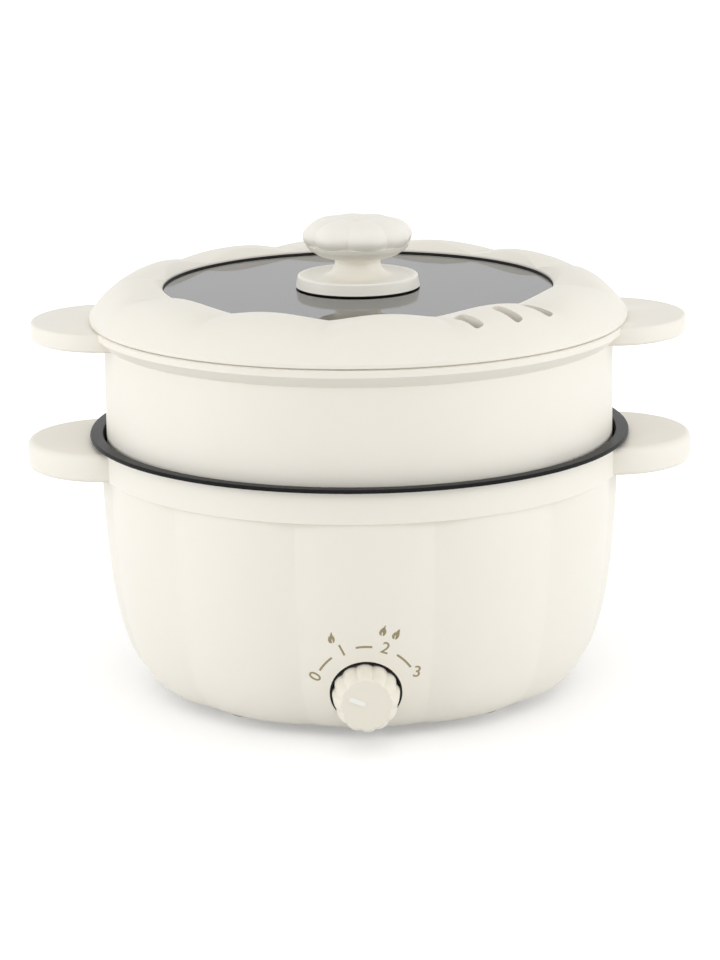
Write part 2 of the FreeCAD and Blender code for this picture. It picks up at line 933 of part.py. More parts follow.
def make_bottom_cover():
    low = foot_height
    high = low + cover_thickness
    disc = cylinder(rebate_radius - cover_edge_gap, low, high)
    ring_bore = cover_ring_radius - cover_ring_wall
    ring = tube(cover_ring_radius, ring_bore, high - slip, high + cover_ring_height)
    posts = [cylinder(tie_post_radius, high - slip, shield_low(), p) for p in tie_places()]
    cover = fused([disc, ring] + posts)
    under = low - overshoot
    slot = slot_prism(vent_length, vent_width, under, high + overshoot)
    slot.translate(Vector(vent_circle, 0, 0))
    cuts = [turned(slot, 360 / vent_count * k) for k in range(vent_count)]
    cuts += [cylinder(tie_radius + screw_play, under, shield_low() + overshoot, p) for p in tie_places()]
    cuts += [cylinder(foot_screw_radius + screw_play, under, high + overshoot, p) for p in foot_places()]
    return drilled(cover, cuts)


def make_rubber_feet():
    feet = []
    for place in foot_places():
        foot = Part.makeCone(foot_bottom_radius, foot_top_radius, foot_height, place)
        foot = foot.makeFillet(foot_edge, edges_at(foot, 0))
        head_room = foot_head_radius + foot_head_room
        pocket = cylinder(head_room, -overshoot, foot_height - foot_web, place)
        bore = cylinder(foot_screw_radius + slip, 0, foot_height + overshoot, place)
        feet.append(foot.cut(pocket).cut(bore))
    return Part.makeCompound(feet)


def make_foot_screws():
    screws = []
    seat = foot_height - foot_web
    low = seat - foot_head_height
    top = foot_height + cover_thickness + boss_height - screw_tip_gap
    for place in foot_places():
        head = cylinder(foot_head_radius, low, seat, place)
        shank = cylinder(foot_screw_radius, seat - slip, top, place)
        cross = cross_recess(place, foot_head_radius * 0.6, low - overshoot, low + foot_head_depth)
        screws.append(drilled(head.fuse(shank), cross))
    return Part.makeCompound(screws)


# Dial and switch
def make_dial_bezel(form):
    """A thin black cup that lines the dial's pocket, flush with the shell outside."""
    floor_y = pocket_y - cup_floor
    cup = along_y(cup_radius, pocket_y, -rim_radius, z=dial_z).common(form)
    cuts = [
        along_y(cup_radius - cup_wall, floor_y, -rim_radius, z=dial_z),
        along_y(bush_radius + slip * 2, pocket_y + overshoot, floor_y - overshoot, z=dial_z),
    ]
    for x in switch_screw_xs():
        hole = along_y(switch_screw_radius + slip, pocket_y + overshoot, floor_y - overshoot, x, dial_z)
        cuts.append(hole)
    return drilled(cup, cuts)


def switch_screw_xs():
    return (-switch_screw_spacing / 2, switch_screw_spacing / 2)


def switch_front_y():
    return pocket_y + pocket_wall


def switch_back_y():
    return switch_front_y() + switch_depth


def make_rotary_switch():
    front = switch_front_y()
    body = box(
        -switch_width / 2, switch_width / 2,
        front, switch_back_y(),
        dial_z - switch_height / 2, dial_z + switch_height / 2,
    )
    body = body.makeFillet(switch_corner, edges_along_y(body))
    bush = along_y(bush_radius, front + overshoot, bush_end_y, z=dial_z)
    spindle = along_y(shaft_radius + slip, front + shaft_tail + overshoot, bush_end_y - overshoot, z=dial_z)
    cuts = [spindle]
    depth = switch_screw_bite + screw_tip_gap - overshoot
    for x in switch_screw_xs():
        cuts.append(along_y(switch_screw_radius + slip, front - overshoot, front + depth, x, dial_z))
    return drilled(body.fuse(bush), cuts)


def switch_tab_place(k):
    """The rear end of terminal 0, 1 or 2, from -X to +X."""
    return Vector((k - 1) * switch_tab_pitch, switch_back_y() + tab_length, dial_z - switch_tab_drop)


def make_switch_terminals():
    tabs = []
    for k in range(3):
        end = switch_tab_place(k)
        tabs.append(box(
            end.x - tab_width / 2, end.x + tab_width / 2,
            end.y - tab_length, end.y,
            end.z - tab_thickness / 2, end.z + tab_thickness / 2,
        ))
    return Part.makeCompound(tabs)


def make_switch_screws():
    screws = []
    seat = pocket_y - cup_floor
    for x in switch_screw_xs():
        head = along_y(switch_screw_head, seat, seat - switch_screw_head_height, x, dial_z)
        shank = along_y(switch_screw_radius, seat - slip, switch_front_y() + switch_screw_bite, x, dial_z)
        screws.append(head.fuse(shank))
    return Part.makeCompound(screws)


def make_switch_shaft():
    """The D shaped spindle that the dial pushes onto."""
    shaft = along_y(shaft_radius, switch_front_y() + shaft_tail, shaft_end_y, z=dial_z)
    flat = box(
        -shaft_radius, shaft_radius,
        shaft_end_y - overshoot, bush_end_y - overshoot,
        dial_z + shaft_radius - shaft_flat, dial_z + shaft_radius + overshoot,
    )
    return shaft.cut(flat)


def to_dial(shape):
    """From a frame with the dial's face up to its place, facing -Y."""
    copy = shape.copy()
    copy.rotate(ORIGIN, Vector(1, 0, 0), 90)
    copy.translate(Vector(0, 0, dial_z))
    return copy


def make_dial_knob():
    """A lobed cap that draws in towards its face, hollow round a ribbed hub."""
    back = -knob_back_y
    face = -knob_face_y
    length = face - back
    wires = []
    for share, draw, lobes in knob_profile:
        depth = knob_lobe_depth * lobes
        z = back + length * share
        wires.append(lobed_wire(knob_lobes, knob_radius - draw, depth, 0.0, z, knob_turn))
    face_depth = knob_lobe_depth * knob_face_lobes
    wires.append(lobed_wire(knob_lobes, knob_face_radius, face_depth, 0.0, face, knob_turn))
    knob = Part.makeLoft(wires, True, False)
    hollow = Part.makeCone(
        knob_radius - knob_lobe_depth - knob_skin, knob_face_radius - knob_skin,
        length - knob_face_skin, Vector(0, 0, back),
    )
    inner = face - overshoot
    hub = cylinder(hub_radius, back + hub_recess, inner)
    rib_reach = knob_face_radius - knob_skin / 3
    rib = box(-hub_rib / 2, hub_rib / 2, 0, rib_reach, back + hub_rib_recess, inner)
    ribs = [turned(rib, 360 / hub_rib_count * k) for k in range(hub_rib_count)]
    knob = knob.cut(hollow.cut(fused([hub] + ribs)))
    bore = cylinder(shaft_radius + slip, back - overshoot, -shaft_end_y + shaft_end_gap)
    flat = box(
        -shaft_radius - overshoot, shaft_radius + overshoot,
        shaft_radius - shaft_flat + slip, shaft_radius + overshoot,
        back, face,
    )
    return to_dial(knob.cut(bore.cut(flat)))


def make_dial_pointer():
    """A raised bar on the dial's face, pointing at the off mark."""
    bar = slot_prism(pointer_length, pointer_width, -knob_face_y, -knob_face_y + pointer_height)
    bar.translate(Vector(-pointer_start - pointer_length / 2, 0, 0))
    bar.rotate(ORIGIN, UP, -(90 - off_angle))
    return to_dial(bar)


# Power inlet
def inlet_flange(grow, proud=0.0):
    half_width = inlet_flange_width / 2 + grow
    half_height = inlet_flange_height / 2 + grow
    plate = box(
        -half_width, half_width,
        inlet_face_y - inlet_flange_thickness, inlet_face_y + proud,
        inlet_z - half_height, inlet_z + half_height,
    )
    return plate.makeFillet(inlet_flange_corner, edges_along_y(plate))


def make_power_inlet():
    """A three pin appliance inlet, with bevelled lower corners in its socket."""
    body = box(
        -inlet_body_width / 2, inlet_body_width / 2,
        inlet_face_y - inlet_depth, inlet_face_y - overshoot,
        inlet_z - inlet_body_height / 2, inlet_z + inlet_body_height / 2,
    )
    socket = box(
        -socket_width / 2, socket_width / 2,
        inlet_face_y - socket_depth, inlet_face_y + overshoot,
        inlet_z - socket_height / 2, inlet_z + socket_height / 2,
    )
    lower = [e for e in edges_along_y(socket) if e.BoundBox.ZMax < inlet_z]
    socket = socket.makeChamfer(socket_bevel, lower)
    holes = [socket]
    back = inlet_face_y - inlet_depth
    for x in inlet_screw_xs():
        holes.append(along_y(inlet_screw_radius + slip, back, inlet_face_y + overshoot, x, inlet_z))
    for x, z in inlet_pin_places():
        holes.append(pin_blade(x, z, slip))
    return drilled(body.fuse(inlet_flange(0.0)), holes)


def inlet_screw_xs():
    return (-inlet_screw_pitch / 2, inlet_screw_pitch / 2)


def inlet_pin_places():
    z = inlet_z - inlet_pin_rise
    return [(-inlet_pin_pitch, z), (0.0, z + 2 * inlet_pin_rise), (inlet_pin_pitch, z)]


def inlet_pin_back_y():
    return inlet_face_y - inlet_depth - tab_length


def pin_blade(x, z, grow):
    """One flat pin through the socket's floor."""
    front = inlet_face_y - socket_depth + inlet_pin_length
    half_width = inlet_pin_width / 2 + grow
    half_height = inlet_pin_height / 2 + grow
    return box(
        x - half_width, x + half_width,
        inlet_pin_back_y() - grow, front,
        z - half_height, z + half_height,
    )


def make_inlet_pins():
    return Part.makeCompound([pin_blade(x, z, 0.0) for x, z in inlet_pin_places()])


def make_inlet_screws():
    screws = []
    face = inlet_face_y
    top = face + inlet_screw_head_height
    for x in inlet_screw_xs():
        head = along_y(inlet_screw_head, face, top, x, inlet_z)
        shank = along_y(inlet_screw_radius, face + slip, face - inlet_screw_length, x, inlet_z)
        half = cross_width / 2
        slot = box(
            x - inlet_screw_head, x + inlet_screw_head,
            top - inlet_screw_slot, top + overshoot,
            inlet_z - half, inlet_z + half,
        )
        screws.append(head.fuse(shank).cut(slot))
    return Part.makeCompound(screws)


# Leads
def bent_path(points):
    """A line through these points with its corners rounded."""
    edges = []
    start = points[0]
    for i in range(1, len(points) - 1):
        here = points[i]
        back = (points[i - 1] - here).normalize()
        ahead = (points[i + 1] - here).normalize()
        half = acos(back.dot(ahead)) / 2
        reach = lead_bend / tan(half)
        middle = here + (back + ahead).normalize() * (lead_bend / sin(half) - lead_bend)
        edges.append(Part.LineSegment(start, here + back * reach).toShape())
        edges.append(Part.Arc(here + back * reach, middle, here + ahead * reach).toShape())
        start = here + ahead * reach
    edges.append(Part.LineSegment(start, points[-1]).toShape())
    return Part.Wire(edges)


def lead(points):
    return swept(bent_path(points), lead_radius)


def inlet_end(k):
    """Where a lead meets inlet pin 0, 1 or 2, and the point from which it comes."""
    x, z = inlet_pin_places()[k]
    return Vector(x, lead_drop_y, z), Vector(x, inlet_pin_back_y(), z)


def make_lead_live():
    """From the inlet to the switch, under the heat shield."""
    tab = switch_tab_place(2)
    before, pin = inlet_end(2)
    return lead([
        tab,
        tab + Vector(0, tab_length, 0),
        Vector(live_lane_x, -fuse_y, tab.z),
        Vector(live_lane_x, element_legs()[1][0].y, tab.z),
        Vector(before.x, before.y, tab.z),
        before,
        pin,
    ])


def make_lead_element():
    """From the switch to the element's right leg, in the lowest lane."""
    tab = switch_tab_place(1)
    foot = element_legs()[0][0]
    return lead([
        tab,
        tab + Vector(0, tab_length, 0),
        Vector(tab.x, -element_radius, lead_low_z),
        Vector(foot.x, foot.y, lead_low_z),
        foot,
    ])


def make_lead_cutout():
    """From the element's left leg to the cut-out."""
    foot = element_legs()[1][0]
    tab = thermostat_tab_places()[0]
    return lead([
        foot,
        Vector(foot.x, foot.y, lead_lane_z),
        Vector(tab.x, tab.y, lead_lane_z),
        tab,
    ])


def make_lead_fuse():
    """From the cut-out up through the shield to the fuse."""
    tab = thermostat_tab_places()[1]
    x = fuse_lead_x()
    return lead([
        tab,
        Vector(tab.x, tab.y, lead_lane_z),
        Vector(x, -fuse_y, lead_lane_z),
        Vector(x, -fuse_y, fuse_z()),
        Vector(fuse_end_x(), -fuse_y, fuse_z()),
    ])


def make_lead_neutral():
    """From the fuse's other end back to the inlet."""
    before, pin = inlet_end(0)
    x = -fuse_lead_x()
    return lead([
        Vector(-fuse_end_x(), -fuse_y, fuse_z()),
        Vector(x, -fuse_y, fuse_z()),
        Vector(x, -fuse_y, lead_lane_z),
        Vector(x, element_legs()[1][0].y, lead_lane_z),
        Vector(before.x, before.y, lead_lane_z),
        before,
        pin,
    ])


def make_lead_earth():
    """From the inlet's middle pin up to the plate's underside."""
    pin = inlet_end(1)[1]
    y = plate_radius - earth_inset
    return lead([pin, Vector(0, y, pin.z), Vector(0, y, plate_bottom())])


# Steamer
def make_steamer_tray():
    inner = steamer_radius - steamer_wall
    low = ledge_z
    lip_low = flange_z - flange_lip
    body = revolved([
        (0, low, 0),
        (steamer_radius, low, steamer_corner),
        (steamer_radius, lip_low - flange_cone, 0),
        (steamer_radius + flange_step, lip_low - flange_cone + flange_step / 2, 0),
        (flange_radius - flange_toe, lip_low - flange_step / 2, 0),
        (flange_radius, lip_low + flange_step / 2, 0),
        (flange_radius, flange_z, flange_edge),
        (inner + flange_step / 2, flange_z, 0),
        (inner, low + steamer_floor, steamer_corner - steamer_wall),
        (0, low + steamer_floor, 0),
    ])
    top = flange_z - seat_gap
    blank = handle_blank(
        steam_handle_reach, steam_handle_half_width, top - steam_handle_thickness, top,
        steam_handle_top_round, steam_handle_bottom_round, steam_handle_wall,
        steam_handle_thickness - steam_handle_skin, flange_radius + steam_handle_core_gap,
    )
    blank = blank.cut(cylinder(steamer_radius, low, flange_z + overshoot))
    holes = []
    over = low + steamer_floor + overshoot
    for ring, count in steam_hole_rings:
        for k in range(count):
            place = polar(ring, 360 / count * k)
            holes.append(cylinder(steam_hole_radius, low - overshoot, over, place))
    return drilled(fused([body, blank, turned(blank, 180)]), holes)


# Lid ring
def lid_crest(radius):
    """Height of a petal's crest line at this radius."""
    out = radius - lid_crest_radius
    if out < 0:
        return lid_crest_z - lid_inner_curl * out**2
    share = out / (lid_radius - lid_crest_radius)
    return lid_crest_z - lid_drop * share**lid_drop_power


def lid_valley(radius):
    """Height of the valley between two petals at this radius."""
    fade_start = lid_radius - lid_valley_fade_inset
    t = max(0.0, min(1.0, (radius - fade_start) / lid_valley_fade_length))
    depth = lid_valley_depth * (1 - t * t * (3 - 2 * t))
    depth -= lid_valley_inner_ease * max(0.0, lid_crest_radius - radius)
    return lid_crest(radius) - depth


def petal(low):
    """One petal of the lid as a wedge on the +X side, domed across and curled at both ends."""
    half = pi / lid_lobes
    wires = []
    for station in petal_stations:
        x = lid_crest_radius + station
        side = x * tan(half)
        corner = x / cos(half)
        left = Vector(x, -side, lid_valley(corner))
        right = Vector(x, side, lid_valley(corner))
        crest = Vector(x, 0, lid_crest(x))
        left_foot = Vector(x, -side, low)
        right_foot = Vector(x, side, low)
        wires.append(Part.Wire([
            Part.Arc(left, crest, right).toShape(),
            Part.LineSegment(right, right_foot).toShape(),
            Part.LineSegment(right_foot, left_foot).toShape(),
            Part.LineSegment(left_foot, left).toShape(),
        ]))
    return Part.makeLoft(wires, True, False)


def retainer_places():
    step = 360 / retainer_screw_count
    return [polar(retainer_screw_circle, lid_turn + step * k) for k in range(retainer_screw_count)]


def glass_low():
    return glass_z - glass_thickness


def lid_envelope(low, high):
    """The turned outside of the lid, which trims the petals' outer ends."""
    edge = lid_radius - lid_edge_inset
    seam = flange_z + lid_edge_gap
    shoulder = lid_radius - lid_trim_inset
    return revolved([
        (0, low, 0),
        (skirt_radius, low, 0),
        (skirt_radius, flange_z, 0),
        (edge, flange_z, 0),
        (edge, seam, 0),
        (lid_radius, seam, lid_edge_round),
        (lid_radius, flange_z + lid_trim_height, lid_trim_round),
        (shoulder, glass_z + lid_trim_rise, 0),
        (shoulder, high, 0),
        (0, high, 0),
    ])


def lid_cavity(low, rib_outer):
    """What is hollow under the petals, between the rib round the glass and the skirt."""
    bosses = [
        cylinder(retainer_boss_radius, glass_low(), lid_crest_z, place) for place in retainer_places()
    ]
    inside = skirt_radius - skirt_wall
    cavity = revolved([
        (rib_outer, glass_low(), 0),
        (glass_radius, glass_low(), 0),
        (glass_radius, low - overshoot, 0),
        (inside, low - overshoot, 0),
        (inside, lid_valley(skirt_radius) - lid_wall, cavity_edge),
        (lid_radius - cavity_knee_in, lid_valley(lid_radius - cavity_knee_drop) - lid_wall, cavity_knee),
        (rib_outer, lid_valley(lid_crest_radius) - lid_wall, 0),
    ])
    return cavity.cut(Part.makeCompound(bosses))


def make_lid_ring():
    low = flange_z - skirt_depth
    high = lid_crest_z + lid_rise
    wedge = petal(low)
    petals = [turned(wedge, -90 + lid_turn + 360 / lid_lobes * k) for k in range(lid_lobes)]
    ring = petals[0].multiFuse(petals[1:]).common(lid_envelope(low, high))
    rebate = glass_radius + locating_gap
    ceiling = glass_z + gasket_thickness
    lip_z = ceiling + window_lip
    flare = Part.makeCone(
        window_radius, window_radius + window_flare * (high - lip_z),
        high - lip_z, Vector(0, 0, lip_z),
    )
    cuts = [
        cylinder(window_radius, low - overshoot, high),
        flare,
        cylinder(rebate, low - overshoot, ceiling),
        lid_cavity(low, rebate + rib_round_glass),
        tube(
            lid_radius - lid_undercut_inset, skirt_radius + lid_undercut_wall,
            low, flange_z + lid_undercut_rise,
        ),
    ]
    for angle in slot_angles:
        half_length = slot_length / 2
        half_width = slot_width / 2
        slot = box(-half_length, half_length, -half_width, half_width, glass_z - slot_depth, high)
        slot = slot.makeFillet(slot_corner, [e for e in slot.Edges if e.BoundBox.ZLength > slot_depth])
        slot.rotate(ORIGIN, UP, slot_skew - 90)
        slot.translate(Vector(0, -slot_circle, 0))
        cuts.append(turned(slot, angle))
    for place in retainer_places():
        bottom = glass_low() - overshoot
        hole_top = glass_low() + retainer_hole_depth
        cuts.append(cylinder(retainer_screw_radius + slip, bottom, hole_top, place))
    for cut in cuts:
        ring = ring.cut(cut)
    return ring


def make_lid_glass():
    low = glass_low()
    hole = cylinder(glass_hole, low - overshoot, glass_z + overshoot)
    glass = cylinder(glass_radius, low, glass_z).cut(hole)
    rims = edges_at(glass, low) + edges_at(glass, glass_z)
    outer = [e for e in rims if e.BoundBox.XLength > glass_radius]
    return glass.makeChamfer(glass_bevel, outer)


def make_glass_gasket():
    return tube(glass_radius, gasket_inner, glass_z, glass_z + gasket_thickness)


def make_glass_retainer():
    top = glass_low()
    low = top - retainer_thickness
    ring = tube(retainer_outer, retainer_inner, low, top)
    radius = retainer_screw_radius + slip
    holes = [cylinder(radius, low - overshoot, top + overshoot, p) for p in retainer_places()]
    return drilled(ring, holes)


def make_retainer_screws():
    screws = []
    seat = glass_low() - retainer_thickness
    for place in retainer_places():
        head = cylinder(retainer_screw_head, seat - retainer_screw_head_height, seat, place)
        shank = cylinder(retainer_screw_radius, seat - slip, seat + retainer_screw_length, place)
        screws.append(head.fuse(shank))
    return Part.makeCompound(screws)


# Lid knob
def knob_low():
    return glass_z + seal_thickness


def make_knob_seal():
    return tube(seal_radius, glass_hole, glass_z, knob_low())


def make_knob_stem():
    """Foot disc, waisted neck and lower bowl in one turning."""
    low = knob_low()
    top = low + knob_disc_height
    land = knob_disc_radius - knob_disc_draft - knob_disc_land
    dish = land - knob_disc_dish_width
    dish_z = top - knob_disc_dish
    stem = revolved([
        (0, low, 0),
        (knob_disc_radius, low, 0),
        (knob_disc_radius - knob_disc_draft, top, knob_disc_round),
        (land, top, 0),
        (dish, dish_z, 0),
        (knob_neck_radius, dish_z, knob_neck_foot_round),
        (knob_neck_radius, glass_z + knob_neck_top, knob_neck_top_round),
        (knob_bowl_radius - knob_bowl_draw, knob_seam_z - knob_bowl_depth, knob_bowl_round),
        (knob_bowl_radius - knob_brim_draw, knob_seam_z - knob_brim_depth, knob_brim_round),
        (knob_bowl_radius, knob_seam_z, 0),
        (0, knob_seam_z, 0),
    ])
    insert_low = low + insert_rise
    insert_top = insert_low + insert_length
    cuts = [
        cylinder(cap_peg_radius + slip, knob_seam_z - cap_peg_depth - seat_gap, knob_seam_z + overshoot),
        cylinder(insert_radius, insert_low, insert_top),
        cylinder(knob_screw_radius + knob_screw_play, low - overshoot, insert_top + overshoot),
    ]
    return drilled(stem, cuts)


def make_knob_insert():
    low = knob_low() + insert_rise
    return tube(insert_radius, knob_screw_radius + slip, low, low + insert_length)


def make_knob_cap():
    """Eight swelling lobes that meet in a dimple, cut flat at the seam."""
    matrix = FreeCAD.Matrix()
    matrix.scale(cap_lobe_reach, cap_lobe_half_width, cap_top_z - cap_centre_z)
    lobe = Part.makeSphere(1.0).transformGeometry(matrix)
    lobe.translate(Vector(cap_lobe_offset, 0, cap_centre_z))
    lobes = [turned(lobe, -90 - cap_turn + 360 / cap_lobes * (k + 0.5)) for k in range(cap_lobes)]
    core = cylinder(cap_core_radius, knob_seam_z, cap_top_z - cap_dimple)
    cap = lobes[0].multiFuse(lobes[1:] + [core])
    below = cylinder(cap_lobe_offset + cap_lobe_reach + overshoot, glass_z, knob_seam_z)
    peg = cylinder(cap_peg_radius, knob_seam_z - cap_peg_depth, knob_seam_z + overshoot)
    return cap.cut(below).fuse(peg)


def make_knob_washer():
    top = glass_low()
    return tube(washer_radius, knob_screw_radius + knob_screw_play, top - washer_thickness, top)


def make_knob_screw():
    seat = glass_low() - washer_thickness
    low = seat - knob_screw_head_height
    head = cylinder(knob_screw_head, low, seat)
    head = head.makeFillet(knob_screw_edge, edges_at(head, low))
    tip = knob_low() + insert_rise + insert_length - overshoot
    shank = cylinder(knob_screw_radius, seat - slip, tip)
    recess = slot_prism(
        knob_screw_slot_length, knob_screw_slot_width, low - overshoot, low + knob_screw_slot_depth
    )
    return head.fuse(shank).cut(recess)


def main():
    os.makedirs("parts", exist_ok=True)
    form = shell_form()
    parts = {
        "inner_pot": make_inner_pot(),
        "handle_collar": make_handle_collar(),
        "outer_shell": make_outer_shell(form),
        "bottom_cover": make_bottom_cover(),
        "rubber_feet": make_rubber_feet(),
        "foot_screws": make_foot_screws(),
        "heating_plate": make_heating_plate(),
        "heating_element": make_heating_element(),
        "heat_shield": make_heat_shield(),
        "tie_bolts": make_tie_bolts(),
        "thermostat": make_thermostat(),
        "thermal_fuse": make_thermal_fuse(),
        "fuse_clip": make_fuse_clip(),
        "rotary_switch": make_rotary_switch(),
        "switch_terminals": make_switch_terminals(),
        "switch_screws": make_switch_screws(),
        "dial_bezel": make_dial_bezel(form),
        "power_inlet": make_power_inlet(),
        "inlet_pins": make_inlet_pins(),
        "inlet_screws": make_inlet_screws(),
        "lead_live": make_lead_live(),
        "lead_element": make_lead_element(),
        "lead_cutout": make_lead_cutout(),
        "lead_fuse": make_lead_fuse(),
        "lead_neutral": make_lead_neutral(),
        "lead_earth": make_lead_earth(),
        "switch_shaft": make_switch_shaft(),
        "dial_knob": make_dial_knob(),
        "dial_pointer": make_dial_pointer(),
        "steamer_tray": make_steamer_tray(),
        "lid_ring": make_lid_ring(),
        "glass_gasket": make_glass_gasket(),
        "lid_glass": make_lid_glass(),
        "glass_retainer": make_glass_retainer(),
        "retainer_screws": make_retainer_screws(),
        "knob_seal": make_knob_seal(),
        "knob_stem": make_knob_stem(),
        "knob_insert": make_knob_insert(),
        "knob_cap": make_knob_cap(),
        "knob_washer": make_knob_washer(),
        "knob_screw": make_knob_screw(),
    }
    for name, shape in parts.items():
        shape.exportStep("parts/" + name + ".step")
        print(name, "solids", len(shape.Solids), "valid", shape.isValid(), "volume", round(shape.Volume))


main()
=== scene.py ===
import bmesh
import bpy
from math import cos, hypot, pi, radians, sin
from mathutils import Matrix, Vector


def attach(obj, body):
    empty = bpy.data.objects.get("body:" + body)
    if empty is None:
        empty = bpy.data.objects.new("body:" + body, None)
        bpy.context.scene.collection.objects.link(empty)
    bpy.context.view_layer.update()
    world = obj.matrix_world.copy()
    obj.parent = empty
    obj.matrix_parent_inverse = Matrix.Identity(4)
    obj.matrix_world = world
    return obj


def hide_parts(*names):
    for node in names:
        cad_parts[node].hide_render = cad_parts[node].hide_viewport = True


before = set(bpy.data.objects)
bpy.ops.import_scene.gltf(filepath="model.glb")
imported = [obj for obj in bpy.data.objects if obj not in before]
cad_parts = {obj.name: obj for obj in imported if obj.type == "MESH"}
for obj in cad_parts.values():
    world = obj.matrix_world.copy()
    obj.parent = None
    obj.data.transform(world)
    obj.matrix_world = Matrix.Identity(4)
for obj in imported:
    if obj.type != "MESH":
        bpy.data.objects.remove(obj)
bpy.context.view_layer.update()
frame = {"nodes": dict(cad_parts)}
nodes = frame["nodes"]
mm = 0.001


# Inner pot: pressed aluminium with a dark grey non-stick coat, sprayed and baked on.
# It hangs in the collar by its flat rim, and the steamer stands on the ledge inside it.
coat_grey = (0.012, 0.012, 0.0125)
coat_fleck = (0.09, 0.09, 0.095)
coat_shine = 0.06
weld_reach = 0.003 * mm
crease_angle = radians(32)
fleck_start, fleck_full = 0.62, 0.72
noise_rough = 0.55


def soft_edges():
    """A modifier group that joins the faces of a CAD mesh and shades them smooth up to a crease."""
    group = bpy.data.node_groups.new("soft_edges", "GeometryNodeTree")
    for way in ("INPUT", "OUTPUT"):
        group.interface.new_socket("Geometry", in_out=way, socket_type="NodeSocketGeometry")
    start = group.nodes.new("NodeGroupInput")
    end = group.nodes.new("NodeGroupOutput")
    weld = group.nodes.new("GeometryNodeMergeByDistance")
    weld.inputs["Distance"].default_value = weld_reach
    smooth = group.nodes.new("GeometryNodeSetShadeSmooth")
    crease = group.nodes.new("GeometryNodeSetShadeSmooth")
    crease.domain = "EDGE"
    crease.inputs["Shade Smooth"].default_value = False
    angle = group.nodes.new("GeometryNodeInputMeshEdgeAngle")
    sharp = group.nodes.new("FunctionNodeCompare")
    sharp.operation = "GREATER_THAN"
    sharp.inputs[1].default_value = crease_angle
    link = group.links.new
    link(start.outputs["Geometry"], weld.inputs["Geometry"])
    link(weld.outputs["Geometry"], smooth.inputs["Geometry"])
    link(smooth.outputs["Geometry"], crease.inputs["Geometry"])
    link(angle.outputs["Unsigned Angle"], sharp.inputs[0])
    link(sharp.outputs["Result"], crease.inputs["Selection"])
    link(crease.outputs["Geometry"], end.inputs["Geometry"])
    return group


edge_group = soft_edges()


def finish_nodes(material, *names):
    """Gives these pieces one material and soft shading."""
    for name in names:
        piece = nodes[name]
        piece.data.materials.clear()
        piece.data.materials.append(material)
        piece.modifiers.new("soft_edges", "NODES").node_group = edge_group


def blank_material(name):
    """A material with its node tree and its one shader."""
    material = bpy.data.materials.new(name)
    material.use_nodes = True
    tree = material.node_tree
    return material, tree, tree.nodes["Principled BSDF"]


def maths(tree, operation, *values):
    """The result of a math node in this tree, fed with sockets and plain numbers in order."""
    node = tree.nodes.new("ShaderNodeMath")
    node.operation = operation
    for socket, value in zip(node.inputs, values):
        if isinstance(value, bpy.types.NodeSocket):
            tree.links.new(value, socket)
        else:
            socket.default_value = value
    return node.outputs[0]


def noise_group():
    """Fine grain with a slow drift of tone, for moulded, cast and coated surfaces alike."""
    group = bpy.data.node_groups.new("grained_surface", "ShaderNodeTree")
    face = group.interface
    for name in ("Colour", "Second Colour"):
        face.new_socket(name, in_out="INPUT", socket_type="NodeSocketColor")
    for name in (
        "Drift", "Flecks", "Grain Size", "Drift Size", "Roughness", "Roughness Spread",
    ):
        face.new_socket(name, in_out="INPUT", socket_type="NodeSocketFloat")
    face.new_socket("Colour", in_out="OUTPUT", socket_type="NodeSocketColor")
    face.new_socket("Roughness", in_out="OUTPUT", socket_type="NodeSocketFloat")
    face.new_socket("Height", in_out="OUTPUT", socket_type="NodeSocketFloat")
    made = group.nodes.new
    link = group.links.new
    given = made("NodeGroupInput").outputs
    out = made("NodeGroupOutput").inputs
    place = made("ShaderNodeTexCoord").outputs["Object"]

    def noise(size, detail):
        """Noise over the piece, with features of this size in metres."""
        node = made("ShaderNodeTexNoise")
        node.inputs["Detail"].default_value = detail
        node.inputs["Roughness"].default_value = noise_rough
        link(place, node.inputs["Vector"])
        link(maths(group, "DIVIDE", 1.0, size), node.inputs["Scale"])
        return node.outputs["Fac"]

    def blend(factor, first, second):
        """The first colour going over to the second as the factor rises."""
        node = made("ShaderNodeMix")
        node.data_type = "RGBA"
        link(factor, node.inputs["Factor"])
        link(first, node.inputs["A"])
        link(second, node.inputs["B"])
        return node.outputs["Result"]

    grain = noise(given["Grain Size"], 3.0)
    drift = noise(given["Drift Size"], 2.0)
    drift_share = maths(group, "MULTIPLY", drift, given["Drift"])
    tone = blend(drift_share, given["Colour"], given["Second Colour"])
    fleck = made("ShaderNodeMapRange")
    fleck.inputs["From Min"].default_value = fleck_start
    fleck.inputs["From Max"].default_value = fleck_full
    link(grain, fleck.inputs["Value"])
    fleck_share = maths(group, "MULTIPLY", fleck.outputs[0], given["Flecks"])
    off_middle = maths(group, "SUBTRACT", drift, 0.5)
    link(blend(fleck_share, tone, given["Second Colour"]), out["Colour"])
    link(
        maths(group, "MULTIPLY_ADD", off_middle, given["Roughness Spread"], given["Roughness"]),
        out["Roughness"],
    )
    link(grain, out["Height"])
    return group


grained_surface = noise_group()


